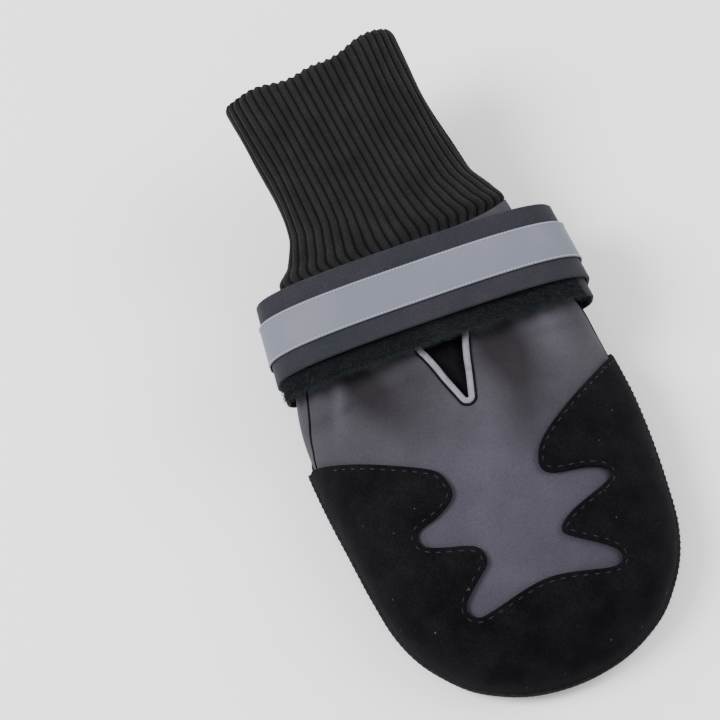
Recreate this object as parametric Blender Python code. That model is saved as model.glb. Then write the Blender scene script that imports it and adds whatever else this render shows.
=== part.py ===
"""A soft dog boot: a mitten of grey stretch fabric on a black leather sole.

The toe points along -Y, the shaft and its ribbed cuff along +Y, and +Z is up.
The origin is the middle of the sole's flat underside. Lengths are in metres.
"""
import math

import bpy
from mathutils import Vector

# Driving sizes of the boot
FOOT_LENGTH = 0.093
BALL_WIDTH = 0.0958
INSTEP_HEIGHT = 0.0365
SEAM_HEIGHT = 0.0050
HEEL_AXIS_HEIGHT = 0.0165
SHAFT_LENGTH = 0.0455
SHAFT_TILT = math.radians(16.0)
COLLAR_WIDTH = 0.0758
COLLAR_DEPTH = 0.026
COLLAR_SHIFT = -0.0025

# Thicknesses, and the clearance that neighbouring pieces keep
GAP = 0.0003
UPPER_WALL = 0.0025
OVERLAY_THICKNESS = 0.0013
SOLE_THICKNESS = 0.0024
INSOLE_THICKNESS = 0.0015
GUSSET_THICKNESS = 0.0012
CUFF_WALL = 0.0020
RIB_HEIGHT = 0.0007

# The ribbed cuff
CUFF_LENGTH = 0.0605
CUFF_TUCK = 0.0060
CUFF_WIDTH = 0.0560
CUFF_DEPTH = 0.0180
CUFF_SHIFT = -0.0050
CUFF_RISE = 0.0036
CUFF_RISE_FROM = 0.1
CUFF_RISE_SPAN = 0.5
CUFF_FULL_FROM = 0.27
RIB_COUNT = 38

# The throat notch and its piping
THROAT_DEPTH = 0.0515
THROAT_WIDTH = 0.024
PIPING_RADIUS = 0.0011
PIPING_DEPTH = 0.0004
GUSSET_MARGIN = 0.004

# The strap: a base band round the shaft, a pile pad and the outer band
STRAP_WIDTH = 0.0240
STRAP_SETBACK = 0.0277
STRAP_START = SHAFT_LENGTH - STRAP_SETBACK
STRAP_BASE_LEAD = 0.0054
STRAP_LEAN = math.radians(8.0)
STRAP_SLANT = math.radians(2.7)
STRAP_HALF_LOW = 0.0474
STRAP_HALF_HIGH = 0.0447
STRAP_SHIFT = -0.0003
STRAP_FULLNESS = 3.0
STRAP_CLEARANCE = 0.0012
STRAP_BASE_THICKNESS = 0.0010
PILE_THICKNESS = 0.0008
PILE_ROOM = 0.0022
STRAP_THICKNESS = 0.0012
TAPE_THICKNESS = 0.0004
TAPE_WIDTH = 0.0118
FRONT_ARC = (0.06, 0.44)
TAPE_ARC = (-0.05, 0.55)

# Faceting
RING_SIDES = 40
STRAP_SIDES = 52
PIPING_SIDES = 8
SHARP_ANGLE = math.radians(40.0)

OVERLAY_INNER = GAP
OVERLAY_OUTER = GAP + OVERLAY_THICKNESS
SOLE_INNER = OVERLAY_OUTER - SOLE_THICKNESS
INSOLE_OUTER = SOLE_INNER - GAP
GUSSET_OUTER = -(UPPER_WALL + GAP)
GUSSET_INNER = GUSSET_OUTER - GUSSET_THICKNESS
CUFF_BASE_OUTER = -(UPPER_WALL + GAP)
SOLE_END = FOOT_LENGTH / 2
INSOLE_END = SOLE_END - UPPER_WALL
FAR = 0.2

# Foot sections, toe first. along: share of FOOT_LENGTH from the toe; width: share of
# half BALL_WIDTH; top: share of INSTEP_HEIGHT above the seam; under: share of the way
# down from the seam to the floor; flat: share of SOLE_FLATNESS; lift: share of the way
# from seam to shaft axis; shift: share of COLLAR_SHIFT.
FOOT_SECTIONS = (
    # along, width, top, under, flat, lift, shift
    (0.000, 0.000, 0.000, 0.00, 0.0, 0.00, 0.00),
    (0.006, 0.160, 0.150, 0.52, 0.0, 0.00, 0.00),
    (0.024, 0.318, 0.290, 0.80, 0.0, 0.00, 0.00),
    (0.055, 0.460, 0.415, 0.89, 0.3, 0.00, 0.00),
    (0.100, 0.602, 0.530, 0.95, 0.7, 0.00, 0.00),
    (0.160, 0.716, 0.640, 1.00, 1.0, 0.00, 0.00),
    (0.240, 0.826, 0.745, 1.00, 1.0, 0.00, 0.00),
    (0.340, 0.903, 0.850, 1.00, 1.0, 0.00, 0.00),
    (0.480, 0.948, 0.945, 1.00, 1.0, 0.00, 0.00),
    (0.640, 0.979, 1.000, 1.00, 1.0, 0.02, 0.00),
    (0.820, 1.000, 1.000, 1.00, 1.0, 0.10, 0.20),
    (1.000, 0.990, 0.950, 1.00, 0.8, 0.42, 0.60),
)

# Shaft sections, heel to collar. along: share of SHAFT_LENGTH; width: share of half
# COLLAR_WIDTH; rise and sink: shares of half COLLAR_DEPTH over and under the axis;
# shift: share of COLLAR_SHIFT.
SHAFT_SECTIONS = (
    # along, width, rise, sink, shift
    (0.17, 1.220, 1.340, 1.060, 0.76),
    (0.36, 1.165, 1.180, 0.990, 0.78),
    (0.58, 1.100, 1.060, 0.960, 0.84),
    (0.80, 1.045, 1.000, 0.960, 0.92),
    (1.00, 1.000, 1.000, 1.000, 1.00),
)
FOOT_FULLNESS = 2.35
SHAFT_FULLNESS = 2.30
SOLE_EDGE_FULLNESS = 2.6
SOLE_FLATNESS = 0.28

# Cuff sections from the tucked end to the top. along: share of CUFF_LENGTH from the
# collar; width and depth: shares of half CUFF_WIDTH and half CUFF_DEPTH; shift: share
# of CUFF_SHIFT, from the shaft's own shift at 0.
CUFF_SECTIONS = (
    # along, width, depth, shift
    (0.05, 1.320, 1.150, -0.45),
    (0.12, 1.210, 1.120, -0.95),
    (0.25, 1.060, 1.030, -0.70),
    (0.45, 1.008, 0.970, -0.30),
    (0.70, 0.992, 0.980, 0.60),
    (1.00, 1.015, 1.080, 1.20),
)
CUFF_FULLNESS = 2.6

# Edge of the overlay's cut-out, from the +X side seam round the front to the other side.
# across: share of half BALL_WIDTH; along: share of FOOT_LENGTH from the origin.
CUTOUT_EDGE = (
    # across, along
    (1.080, 0.450),
    (0.820, 0.340),
    (0.370, 0.190),
    (0.240, 0.105),
    (0.280, 0.055),
    (0.520, 0.035),
    (0.625, 0.010),
    (0.585, -0.025),
    (0.310, -0.080),
    (0.205, -0.120),
    (0.255, -0.150),
    (0.465, -0.220),
    (0.495, -0.260),
    (0.400, -0.275),
    (0.020, -0.240),
    (-0.345, -0.265),
    (-0.460, -0.265),
    (-0.500, -0.220),
    (-0.345, -0.155),
    (-0.290, -0.135),
    (-0.275, -0.110),
    (-0.315, -0.070),
    (-0.480, -0.035),
    (-0.575, -0.010),
    (-0.620, 0.020),
    (-0.600, 0.050),
    (-0.445, 0.065),
    (-0.320, 0.105),
    (-0.335, 0.175),
    (-0.395, 0.210),
    (-0.615, 0.285),
    (-0.965, 0.400),
    (-1.080, 0.450),
)

# Half of the throat notch. along: share of THROAT_DEPTH from its tip; across: share of
# half THROAT_WIDTH.
THROAT_EDGE = (
    # along, across
    (0.000, 0.000),
    (0.010, 0.095),
    (0.036, 0.140),
    (0.086, 0.208),
    (0.170, 0.320),
    (0.249, 0.410),
    (0.337, 0.537),
    (0.392, 0.625),
    (0.580, 0.770),
    (0.800, 0.890),
    (1.000, 1.000),
)


def catmull(before, first, second, after, share):
    """A smooth value between first and second."""
    square = share * share
    cube = square * share
    return 0.5 * (
        2 * first
        + (second - before) * share
        + (2 * before - 5 * first + 4 * second - after) * square
        + (3 * first - before - 3 * second + after) * cube
    )


def row_at(rows, place):
    """A smoothly blended row of a table at a fractional row number."""
    last = len(rows) - 1
    index = min(int(place), last - 1)
    share = place - index
    around = [rows[min(max(index + step, 0), last)] for step in (-1, 0, 1, 2)]
    return tuple(catmull(*column, share) for column in zip(*around))


def smooth_line(points, steps):
    """Points along a smooth curve through the given ones."""
    line = []
    for index in range((len(points) - 1) * steps + 1):
        line.append(Vector(row_at(points, index / steps)))
    return line


def signed_power(value, power):
    return math.copysign(abs(value) ** power, value)


# The shaft's frame: its axis leaves the heel and rises by SHAFT_TILT
SHAFT_BASE = Vector((0, FOOT_LENGTH / 2, HEEL_AXIS_HEIGHT))
SHAFT_ALONG = Vector((0, math.cos(SHAFT_TILT), math.sin(SHAFT_TILT)))
SHAFT_UP = Vector((0, -math.sin(SHAFT_TILT), math.cos(SHAFT_TILT)))


def shaft_point(across, along, height):
    """A point given across, along and above the shaft's axis."""
    return SHAFT_BASE + Vector((across, 0, 0)) + SHAFT_ALONG * along + SHAFT_UP * height


def body_sections():
    """All sections of the upper, toe to collar, as (x, y, z, lean, half, rise, sink,
    fullness over, fullness under, flatness) in metres and radians."""
    rows = []
    for along, width, top, under, flat, lift, shift in FOOT_SECTIONS:
        middle = SEAM_HEIGHT + lift * (HEEL_AXIS_HEIGHT - SEAM_HEIGHT)
        rows.append((
            shift * COLLAR_SHIFT,
            (along - 0.5) * FOOT_LENGTH,
            middle,
            0.0,
            width * BALL_WIDTH / 2,
            SEAM_HEIGHT + top * (INSTEP_HEIGHT - SEAM_HEIGHT) - middle,
            under * (middle - OVERLAY_OUTER),
            FOOT_FULLNESS,
            SOLE_EDGE_FULLNESS,
            1 + flat * SOLE_FLATNESS,
        ))
    for along, width, rise, sink, shift in SHAFT_SECTIONS:
        centre = shaft_point(shift * COLLAR_SHIFT, along * SHAFT_LENGTH, 0)
        rows.append((
            *centre,
            SHAFT_TILT,
            width * COLLAR_WIDTH / 2,
            rise * COLLAR_DEPTH / 2,
            sink * COLLAR_DEPTH / 2,
            SHAFT_FULLNESS,
            SHAFT_FULLNESS,
            1.0,
        ))
    return rows


SECTIONS = body_sections()
HEEL_PLACE = len(FOOT_SECTIONS) - 1
COLLAR_PLACE = len(SECTIONS) - 1


def section_at(place):
    """The blended section at a fractional row number. Before the toe the rows are
    mirrored, so that the toe closes roundly."""
    first = SECTIONS[0]
    second = SECTIONS[1]
    if place >= 1:
        return row_at(SECTIONS, place)
    ghost = tuple(
        value if column < 4 or column > 6 else -value
        for column, value in enumerate(second)
    )
    return tuple(catmull(*column, place) for column in zip(ghost, first, second, SECTIONS[2]))


def outline_point(angle, half, rise, sink, over, under, flatness):
    """Across and height on a section's outline. Its underside is cut off flat."""
    cosine = math.cos(angle)
    sine = math.sin(angle)
    fullness = over if sine >= 0 else under
    across = half * signed_power(cosine, 2 / fullness)
    height = abs(sine) ** (2 / fullness)
    if sine >= 0:
        return across, rise * height
    return across, -sink * min(1.0, flatness * height)


def bare_skin(place, angle):
    """A point of the upper's outer surface."""
    x, y, z, lean, half, rise, sink, over, under, flatness = section_at(place)
    across, height = outline_point(angle, half, rise, sink, over, under, flatness)
    return Vector((x + across, y - math.sin(lean) * height, z + math.cos(lean) * height))


def sole_side_share(place, height):
    """1 well under the seam and ahead of the heel, 0 on the upper."""
    down = min(max((SEAM_HEIGHT - height) / (SEAM_HEIGHT - SOLE_THICKNESS), 0.0), 1.0)
    return down * min(max(HEEL_PLACE - place, 0.0), 1.0)


def skin(place, angle, offset):
    """A point of the upper's outer surface, moved out by offset. Inward moves stay
    short beside the sole, where the sole's opening takes the wall away."""
    if place <= 0:
        return bare_skin(0, angle) - Vector((0, offset, 0))
    if offset < INSOLE_OUTER:
        share = sole_side_share(place, bare_skin(place, angle).z)
        offset += share * (INSOLE_OUTER - offset)
    step = 0.02
    turn = math.radians(1.0)
    along = bare_skin(min(place + step, COLLAR_PLACE), angle) - bare_skin(place - step, angle)
    around = bare_skin(place, angle + turn) - bare_skin(place, angle - turn)
    return bare_skin(place, angle) + along.cross(around).normalized() * offset


def material(name, colour, roughness):
    made = bpy.data.materials.new(name)
    made.use_nodes = True
    shader = made.node_tree.nodes["Principled BSDF"]
    shader.inputs["Base Color"].default_value = (*colour, 1)
    shader.inputs["Roughness"].default_value = roughness
    made.diffuse_color = (*colour, 1)
    return made


def add_object(name, points, faces, finish=None):
    """A named object with smooth faces and sharp edges."""
    mesh = bpy.data.meshes.new(name)
    mesh.from_pydata([tuple(point) for point in points], [], faces)
    mesh.validate()
    mesh.shade_smooth()
    mesh.set_sharp_from_angle(angle=SHARP_ANGLE)
    made = bpy.data.objects.new(name, mesh)
    bpy.context.scene.collection.objects.link(made)
    if finish:
        mesh.materials.append(finish)
    return made


def ring_faces(first, second, count, closed=True):
    """Faces between two rings of points, given by their first numbers."""
    faces = []
    for step in range(count if closed else count - 1):
        after = (step + 1) % count
        faces.append((first + step, first + after, second + after, second + step))
    return faces


def ring_angles():
    return [2 * math.pi * (step + 0.5) / RING_SIDES for step in range(RING_SIDES)]


def skin_rings(places, offset):
    return [[skin(place, angle, offset) for angle in ring_angles()] for place in places]


def pocket(name, places, outer, inner, finish):
    """A wall between two offsets of the skin, closed at the toe, open at the last place."""
    points = [skin(0, 0, outer)]
    points += [point for ring in skin_rings(places, outer) for point in ring]
    back = len(points)
    points.append(skin(0, 0, inner))
    points += [point for ring in skin_rings(places, inner) for point in ring]
    faces = []
    for step in range(RING_SIDES):
        after = (step + 1) % RING_SIDES
        faces.append((0, 1 + step, 1 + after))
        faces.append((back, back + 1 + after, back + 1 + step))
    for index in range(len(places) - 1):
        low = 1 + index * RING_SIDES
        high = low + RING_SIDES
        faces += ring_faces(high, low, RING_SIDES)
        faces += ring_faces(back + low, back + high, RING_SIDES)
    rim = 1 + (len(places) - 1) * RING_SIDES
    faces += ring_faces(back + rim, rim, RING_SIDES)
    return add_object(name, points, faces, finish)


def plug(name, places, offset, finish):
    """The solid inside one offset of the skin, with a flat end at the last place."""
    points = [skin(0, 0, offset)]
    points += [point for ring in skin_rings(places, offset) for point in ring]
    faces = [
        (0, 1 + step, 1 + (step + 1) % RING_SIDES)
        for step in range(RING_SIDES)
    ]
    for index in range(len(places) - 1):
        low = 1 + index * RING_SIDES
        faces += ring_faces(low + RING_SIDES, low, RING_SIDES)
    rim = 1 + (len(places) - 1) * RING_SIDES
    faces.append(tuple(reversed(range(rim, rim + RING_SIDES))))
    return add_object(name, points, faces, finish)


def mark_cutter(made):
    made.hide_render = True
    made.display_type = "WIRE"
    return made


def box_cutter(name, low, high):
    points = [
        (x, y, z)
        for z in (low[2], high[2])
        for x, y in ((low[0], low[1]), (high[0], low[1]), (high[0], high[1]), (low[0], high[1]))
    ]
    faces = [(3, 2, 1, 0), (4, 5, 6, 7)] + ring_faces(0, 4, 4)
    return mark_cutter(add_object(name, points, faces))


def prism_cutter(name, outline, place_point, low, high):
    """A prism over a closed outline, given counter-clockwise seen from above.
    place_point turns (across, along, height) into a point."""
    count = len(outline)
    points = [place_point(across, along, low) for across, along in outline]
    points += [place_point(across, along, high) for across, along in outline]
    faces = [tuple(reversed(range(count))), tuple(range(count, 2 * count))]
    faces += ring_faces(0, count, count)
    return mark_cutter(add_object(name, points, faces))


def cut(made, cutter, operation="DIFFERENCE"):
    change = made.modifiers.new(cutter.name, "BOOLEAN")
    change.operation = operation
    change.object = cutter
    change.solver = "EXACT"


def cutout_outline():
    """The plan of what the overlay leaves open: the star and all behind it."""
    edge = [
        (across * BALL_WIDTH / 2, along * FOOT_LENGTH)
        for across, along in smooth_line(CUTOUT_EDGE, 4)
    ]
    behind = [(-FAR, edge[-1][1]), (-FAR, FAR), (FAR, FAR), (FAR, edge[0][1])]
    return list(reversed(edge + behind))


def throat_line(margin):
    """The +X edge of the throat notch from its tip, widened by margin, as (across,
    along) in the shaft's frame."""
    tip = SHAFT_LENGTH - THROAT_DEPTH
    rows = [
        (share * THROAT_WIDTH / 2, tip + along * THROAT_DEPTH)
        for along, share in THROAT_EDGE
    ]
    line = smooth_line(rows, 2)
    widened = []
    for index, point in enumerate(line):
        if index == 0:
            widened.append(Vector((0, point.y - margin)))
            continue
        ahead = line[min(index + 1, len(line) - 1)] - line[index - 1]
        aside = Vector((ahead.y, -ahead.x)).normalized()
        widened.append(point + aside * margin)
    return widened


def throat_outline(margin, end):
    """The closed plan of the notch in the shaft's frame, running on to end."""
    right = [point for point in throat_line(margin) if point.y < end]
    mouth = Vector((right[-1].x, end))
    right.append(mouth)
    left = [Vector((-point.x, point.y)) for point in reversed(right[1:])]
    shifted = [point + Vector((throat_shift(point.y), 0)) for point in right + left]
    return [tuple(point) for point in shifted]


def throat_shift(along):
    """How far the notch's middle follows the shaft's sideways lean."""
    return COLLAR_SHIFT * min(max(along / SHAFT_LENGTH, 0.0), 1.0) ** 3


def world_point(across, along, height):
    return Vector((across, along, height))


def make_upper(finish):
    upper = pocket("upper", range(1, COLLAR_PLACE + 1), 0.0, -UPPER_WALL, finish)
    ground = box_cutter(
        "sole_opening", (-FAR, -FAR, -FAR), (FAR, SOLE_END + GAP, SEAM_HEIGHT + GAP / 2)
    )
    cut(upper, ground)
    notch = throat_outline(PIPING_RADIUS + GAP, SHAFT_LENGTH + FAR)
    cut(upper, prism_cutter("throat_notch", notch, shaft_point, 0, FAR))


def make_outsole(finish):
    outsole = pocket("outsole", range(1, HEEL_PLACE + 2), OVERLAY_OUTER, SOLE_INNER, finish)
    top = SEAM_HEIGHT - GAP / 2
    cut(outsole, box_cutter("above_seam", (-FAR, -FAR, top), (FAR, FAR, FAR)))
    cut(outsole, box_cutter("behind_sole", (-FAR, SOLE_END, -FAR), (FAR, FAR, FAR)))


def make_insole(finish):
    insole = plug("insole", range(1, HEEL_PLACE + 1), INSOLE_OUTER, finish)
    top = OVERLAY_OUTER - INSOLE_OUTER + INSOLE_THICKNESS
    cut(insole, box_cutter("above_insole", (-FAR, -FAR, top), (FAR, FAR, FAR)))
    cut(insole, box_cutter("behind_insole", (-FAR, INSOLE_END, -FAR), (FAR, FAR, FAR)))


def make_overlay(finish):
    overlay = pocket("toe_overlay", range(1, HEEL_PLACE + 1), OVERLAY_OUTER, OVERLAY_INNER, finish)
    bottom = SEAM_HEIGHT + GAP / 2
    cut(overlay, box_cutter("below_seam", (-FAR, -FAR, -FAR), (FAR, FAR, bottom)))
    cut(overlay, prism_cutter("star_cutout", cutout_outline(), world_point, 0, FAR))


def make_gusset(finish):
    gusset = pocket("throat_gusset", range(8, COLLAR_PLACE + 1), GUSSET_OUTER, GUSSET_INNER, finish)
    shape = throat_outline(GUSSET_MARGIN, SHAFT_LENGTH - CUFF_TUCK - GAP)
    cut(gusset, prism_cutter("gusset_shape", shape, shaft_point, 0, FAR), "INTERSECT")


def skin_over(across, along):
    """The place and angle of the skin point over (across, along) of the shaft's frame."""
    low, high = 0.0, float(COLLAR_PLACE)
    angle = math.pi / 2
    for _ in range(40):
        place = (low + high) / 2
        x, y, z, lean, half, rise, sink, over, under, flatness = section_at(place)
        ratio = min(max((across - x) / half, -1.0), 1.0) if half > 0 else 0.0
        angle = math.acos(signed_power(ratio, over / 2))
        found = (bare_skin(place, angle) - SHAFT_BASE).dot(SHAFT_ALONG)
        if found < along:
            low = place
        else:
            high = place
    return place, angle


def add_tube(name, route, radius, finish):
    """A round cord along a route of points, with flat ends."""
    count = PIPING_SIDES
    points = []
    for index, centre in enumerate(route):
        ahead = route[min(index + 1, len(route) - 1)] - route[max(index - 1, 0)]
        aside = ahead.cross(SHAFT_UP).normalized()
        over = aside.cross(ahead).normalized()
        for step in range(count):
            angle = 2 * math.pi * step / count
            points.append(centre + (aside * math.cos(angle) + over * math.sin(angle)) * radius)
    faces = [tuple(range(count))]
    for index in range(len(route) - 1):
        faces += ring_faces((index + 1) * count, index * count, count)
    last = (len(route) - 1) * count
    faces.append(tuple(reversed(range(last, last + count))))
    add_object(name, points, faces, finish)


def make_piping(finish):
    """A cord along both edges of the notch, joined round its tip."""
    edge = [point for point in throat_line(0.0) if point.y < SHAFT_LENGTH - CUFF_TUCK]
    route = [Vector((-point.x, point.y)) for point in reversed(edge[1:])] + edge
    points = []
    for point in route:
        place, angle = skin_over(point.x + throat_shift(point.y), point.y)
        points.append(skin(place, angle, -PIPING_DEPTH))
    add_tube("throat_piping", points, PIPING_RADIUS, finish)


def even_angles(half, depth, fullness, shares):
    """Angles on a superellipse at the given shares of its length round."""
    steps = 720
    points = [
        outline_point(2 * math.pi * step / steps, half, depth, depth, fullness, fullness, 1.0)
        for step in range(steps + 1)
    ]
    run = [0.0]
    for before, after in zip(points, points[1:]):
        run.append(run[-1] + math.dist(before, after))
    angles = []
    index = 0
    for share in shares:
        goal = share * run[-1]
        while run[index + 1] < goal:
            index += 1
        part = (goal - run[index]) / (run[index + 1] - run[index])
        angles.append(2 * math.pi * (index + part) / steps)
    return angles


def cuff_section(along_share):
    """Shift, half width and half depth of the cuff at a share of its length."""
    rows = CUFF_SECTIONS
    index = 0
    while index < len(rows) - 2 and rows[index + 1][0] < along_share:
        index += 1
    share = (along_share - rows[index][0]) / (rows[index + 1][0] - rows[index][0])
    _, width, depth, shift = row_at(rows, index + share)
    return (
        COLLAR_SHIFT + shift * (CUFF_SHIFT - COLLAR_SHIFT),
        width * CUFF_WIDTH / 2,
        depth * CUFF_DEPTH / 2,
    )


def cuff_rise(across_share):
    """The top edge stands higher towards +X, by a share of CUFF_RISE."""
    step = min(max((across_share - CUFF_RISE_FROM) / CUFF_RISE_SPAN, 0.0), 1.0)
    return CUFF_RISE * step * step * (3 - 2 * step)


def cuff_fullness(along):
    """The cuff takes the shaft's outline at the collar and its own a little above."""
    share = min(max((along - SHAFT_LENGTH) / (CUFF_FULL_FROM * CUFF_LENGTH), 0.0), 1.0)
    return SHAFT_FULLNESS + share * (CUFF_FULLNESS - SHAFT_FULLNESS)


def cuff_ring(along, shift, half, depth, inward, crests):
    """One ring of cuff points: across and height in the shaft's frame, ribs outside."""
    shares = []
    heights = []
    for rib in range(RIB_COUNT):
        for phase, height in crests:
            shares.append((rib + phase) / RIB_COUNT)
            heights.append(height)
    ring = []
    full = cuff_fullness(along)
    for angle, height in zip(even_angles(half, depth, full, shares), heights):
        out = height - inward
        across, up = outline_point(angle, half + out, depth + out, depth + out, full, full, 1.0)
        reach = along
        if along > SHAFT_LENGTH:
            share = (along - SHAFT_LENGTH) / CUFF_LENGTH
            reach += cuff_rise(across / half) * share ** 3
        ring.append(shaft_point(shift + across, reach, up))
    return ring


def make_cuff(finish):
    """A ribbed tube from its tuck inside the collar to its turned top."""
    crests = ((0.0, -RIB_HEIGHT), (0.28, 0.0), (0.72, 0.0))
    tuck_half = COLLAR_WIDTH / 2 + CUFF_BASE_OUTER - GAP
    tuck_depth = COLLAR_DEPTH / 2 + CUFF_BASE_OUTER - GAP
    stations = [
        (SHAFT_LENGTH - CUFF_TUCK, COLLAR_SHIFT, tuck_half, tuck_depth),
        (SHAFT_LENGTH, COLLAR_SHIFT, tuck_half, tuck_depth),
    ]
    for row in CUFF_SECTIONS:
        shift, half, depth = cuff_section(row[0])
        stations.append((SHAFT_LENGTH + row[0] * CUFF_LENGTH, shift, half, depth))
    rings = [cuff_ring(*station, 0.0, crests) for station in stations]
    inner = [cuff_ring(*station, CUFF_WALL, ((0.0, 0), (0.28, 0), (0.72, 0))) for station in stations]
    loop = rings + list(reversed(inner))
    count = len(rings[0])
    points = [point for ring in loop for point in ring]
    faces = []
    for index in range(len(loop)):
        after = (index + 1) % len(loop)
        faces += ring_faces(after * count, index * count, count)
    add_object("rib_cuff", points, faces, finish)


def strap_ring(along_share, layer):
    """Half width and heights of a strap layer at a share of the strap's width."""
    half = STRAP_HALF_LOW + along_share * (STRAP_HALF_HIGH - STRAP_HALF_LOW)
    around = STRAP_CLEARANCE + layer
    rise, sink = (
        low + along_share * (high - low)
        for low, high in zip(shaft_depths(STRAP_START), shaft_depths(STRAP_START + STRAP_WIDTH))
    )
    return half + layer, rise + around, sink + around


def shaft_depths(along):
    """How far the shaft reaches over and under its axis, at a distance from the heel."""
    low, high = float(HEEL_PLACE + 1), float(COLLAR_PLACE)
    for _ in range(30):
        place = (low + high) / 2
        section = section_at(place)
        if (Vector(section[:3]) - SHAFT_BASE).dot(SHAFT_ALONG) < along:
            low = place
        else:
            high = place
    return section[5], section[6]


def strap_point(angle, along_share, layer, room):
    half, rise, sink = strap_ring(along_share, layer)
    rise += room
    across, height = outline_point(angle, half, rise, sink, STRAP_FULLNESS, STRAP_FULLNESS, 1.0)
    along = STRAP_START + along_share * STRAP_WIDTH + height * math.tan(STRAP_LEAN)
    along -= across * math.tan(STRAP_SLANT)
    return shaft_point(STRAP_SHIFT + across, along, height)


def strap_angles(shares):
    """Angles at even steps round the strap, the same for each of its layers."""
    half, rise, sink = strap_ring(0.5, 0.0)
    even = sorted(set(shares))
    found = dict(zip(even, even_angles(half, (rise + sink) / 2, STRAP_FULLNESS, even)))
    return [found[share] for share in shares]


def make_band(name, lead, width, inner, outer, finish, room=0.0, arc=None):
    """A band of the strap, from lead before STRAP_START and of the given width. It is a
    closed ring, or covers an arc from one share of the ring's length to another. Room
    lifts its front."""
    start = -lead / STRAP_WIDTH
    end = start + width / STRAP_WIDTH
    edges = ((start, inner), (end, inner), (end, outer), (start, outer))
    if arc is None:
        shares = [step / STRAP_SIDES for step in range(STRAP_SIDES)]
    else:
        first, last = (round(share * STRAP_SIDES) for share in arc)
        shares = [step / STRAP_SIDES % 1 for step in range(first, last + 1)]
    angles = strap_angles(shares)
    points = [strap_point(angle, *edge, room) for angle in angles for edge in edges]
    faces = []
    rings = len(angles)
    for index in range(rings if arc is None else rings - 1):
        faces += ring_faces(4 * ((index + 1) % rings), 4 * index, 4)
    if arc is not None:
        faces.append((0, 1, 2, 3))
        last = 4 * (rings - 1)
        faces.append((last + 3, last + 2, last + 1, last))
    add_object(name, points, faces, finish)


def make_strap(finishes):
    base_outer = STRAP_BASE_THICKNESS
    cover = base_outer + GAP
    flap_outer = cover + STRAP_THICKNESS
    tape = flap_outer + GAP
    lead = STRAP_BASE_LEAD
    margin = (STRAP_WIDTH - TAPE_WIDTH) / 2
    make_band("strap_base", lead, STRAP_WIDTH, 0.0, base_outer, finishes["webbing"])
    make_band(
        "strap_pile", lead, STRAP_WIDTH, cover, cover + PILE_THICKNESS, finishes["pile"],
        arc=FRONT_ARC,
    )
    make_band(
        "strap_flap", 0.0, STRAP_WIDTH, cover, flap_outer, finishes["webbing"],
        room=PILE_ROOM,
    )
    make_band(
        "reflective_tape", -margin, TAPE_WIDTH, tape, tape + TAPE_THICKNESS, finishes["tape"],
        room=PILE_ROOM, arc=TAPE_ARC,
    )


def main():
    for old in list(bpy.data.objects):
        bpy.data.objects.remove(old)
    finishes = {
        "fabric": material("grey_softshell", (0.115, 0.112, 0.130), 0.75),
        "leather": material("black_suede", (0.010, 0.010, 0.011), 0.85),
        "knit": material("black_rib_knit", (0.020, 0.020, 0.021), 0.9),
        "gusset": material("black_stretch", (0.012, 0.012, 0.013), 0.8),
        "piping": material("grey_piping", (0.36, 0.35, 0.38), 0.6),
        "pile": material("black_pile", (0.012, 0.014, 0.016), 0.95),
        "webbing": material("charcoal_webbing", (0.055, 0.055, 0.065), 0.6),
        "tape": material("silver_tape", (0.30, 0.32, 0.38), 0.35),
        "lining": material("black_lining", (0.02, 0.02, 0.02), 0.9),
    }
    make_outsole(finishes["leather"])
    make_insole(finishes["lining"])
    make_upper(finishes["fabric"])
    make_overlay(finishes["leather"])
    make_gusset(finishes["gusset"])
    make_piping(finishes["piping"])
    make_cuff(finishes["knit"])
    make_strap(finishes)


main()
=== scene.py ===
"""The dog boot dressed for the picture: finer surfaces, stitches, cloth and leather.

The shape functions repeat those of the solids, at a finer step. Lengths are in metres.
"""
import math
import random

import bpy
import numpy as np
from mathutils import Matrix, Vector


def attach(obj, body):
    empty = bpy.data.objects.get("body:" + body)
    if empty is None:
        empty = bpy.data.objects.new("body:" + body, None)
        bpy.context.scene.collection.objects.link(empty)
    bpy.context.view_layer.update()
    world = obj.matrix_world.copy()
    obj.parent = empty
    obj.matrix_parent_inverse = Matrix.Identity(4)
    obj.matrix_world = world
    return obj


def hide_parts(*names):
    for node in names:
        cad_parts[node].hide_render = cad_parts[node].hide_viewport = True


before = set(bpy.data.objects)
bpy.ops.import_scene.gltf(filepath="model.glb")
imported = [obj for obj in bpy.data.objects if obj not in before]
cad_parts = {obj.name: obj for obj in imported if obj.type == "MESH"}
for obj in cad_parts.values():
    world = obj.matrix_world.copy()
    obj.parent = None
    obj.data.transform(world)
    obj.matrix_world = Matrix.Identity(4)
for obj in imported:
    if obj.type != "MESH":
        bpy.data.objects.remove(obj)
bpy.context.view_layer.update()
random.seed(7)

# Sizes of the boot, as in the solids
FOOT_LENGTH = 0.093
BALL_WIDTH = 0.0958
INSTEP_HEIGHT = 0.0365
SEAM_HEIGHT = 0.0050
HEEL_AXIS_HEIGHT = 0.0165
SHAFT_LENGTH = 0.0455
SHAFT_TILT = math.radians(16.0)
COLLAR_WIDTH = 0.0758
COLLAR_DEPTH = 0.026
COLLAR_SHIFT = -0.0025
GAP = 0.0003
UPPER_WALL = 0.0025
OVERLAY_THICKNESS = 0.0013
SOLE_THICKNESS = 0.0024
CUFF_LENGTH = 0.0605
CUFF_TUCK = 0.0060
CUFF_WIDTH = 0.0560
CUFF_DEPTH = 0.0180
CUFF_SHIFT = -0.0050
CUFF_RISE = 0.0036
CUFF_WALL = 0.0020
CUFF_ROUND = 0.135
CUFF_RISE_FROM = 0.1
CUFF_RISE_SPAN = 0.5
CUFF_FULL_FROM = 0.27
THROAT_DEPTH = 0.0515
THROAT_WIDTH = 0.024
PIPING_RADIUS = 0.0011
PIPING_DEPTH = 0.0004
STRAP_WIDTH = 0.0240
STRAP_SETBACK = 0.0277
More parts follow.
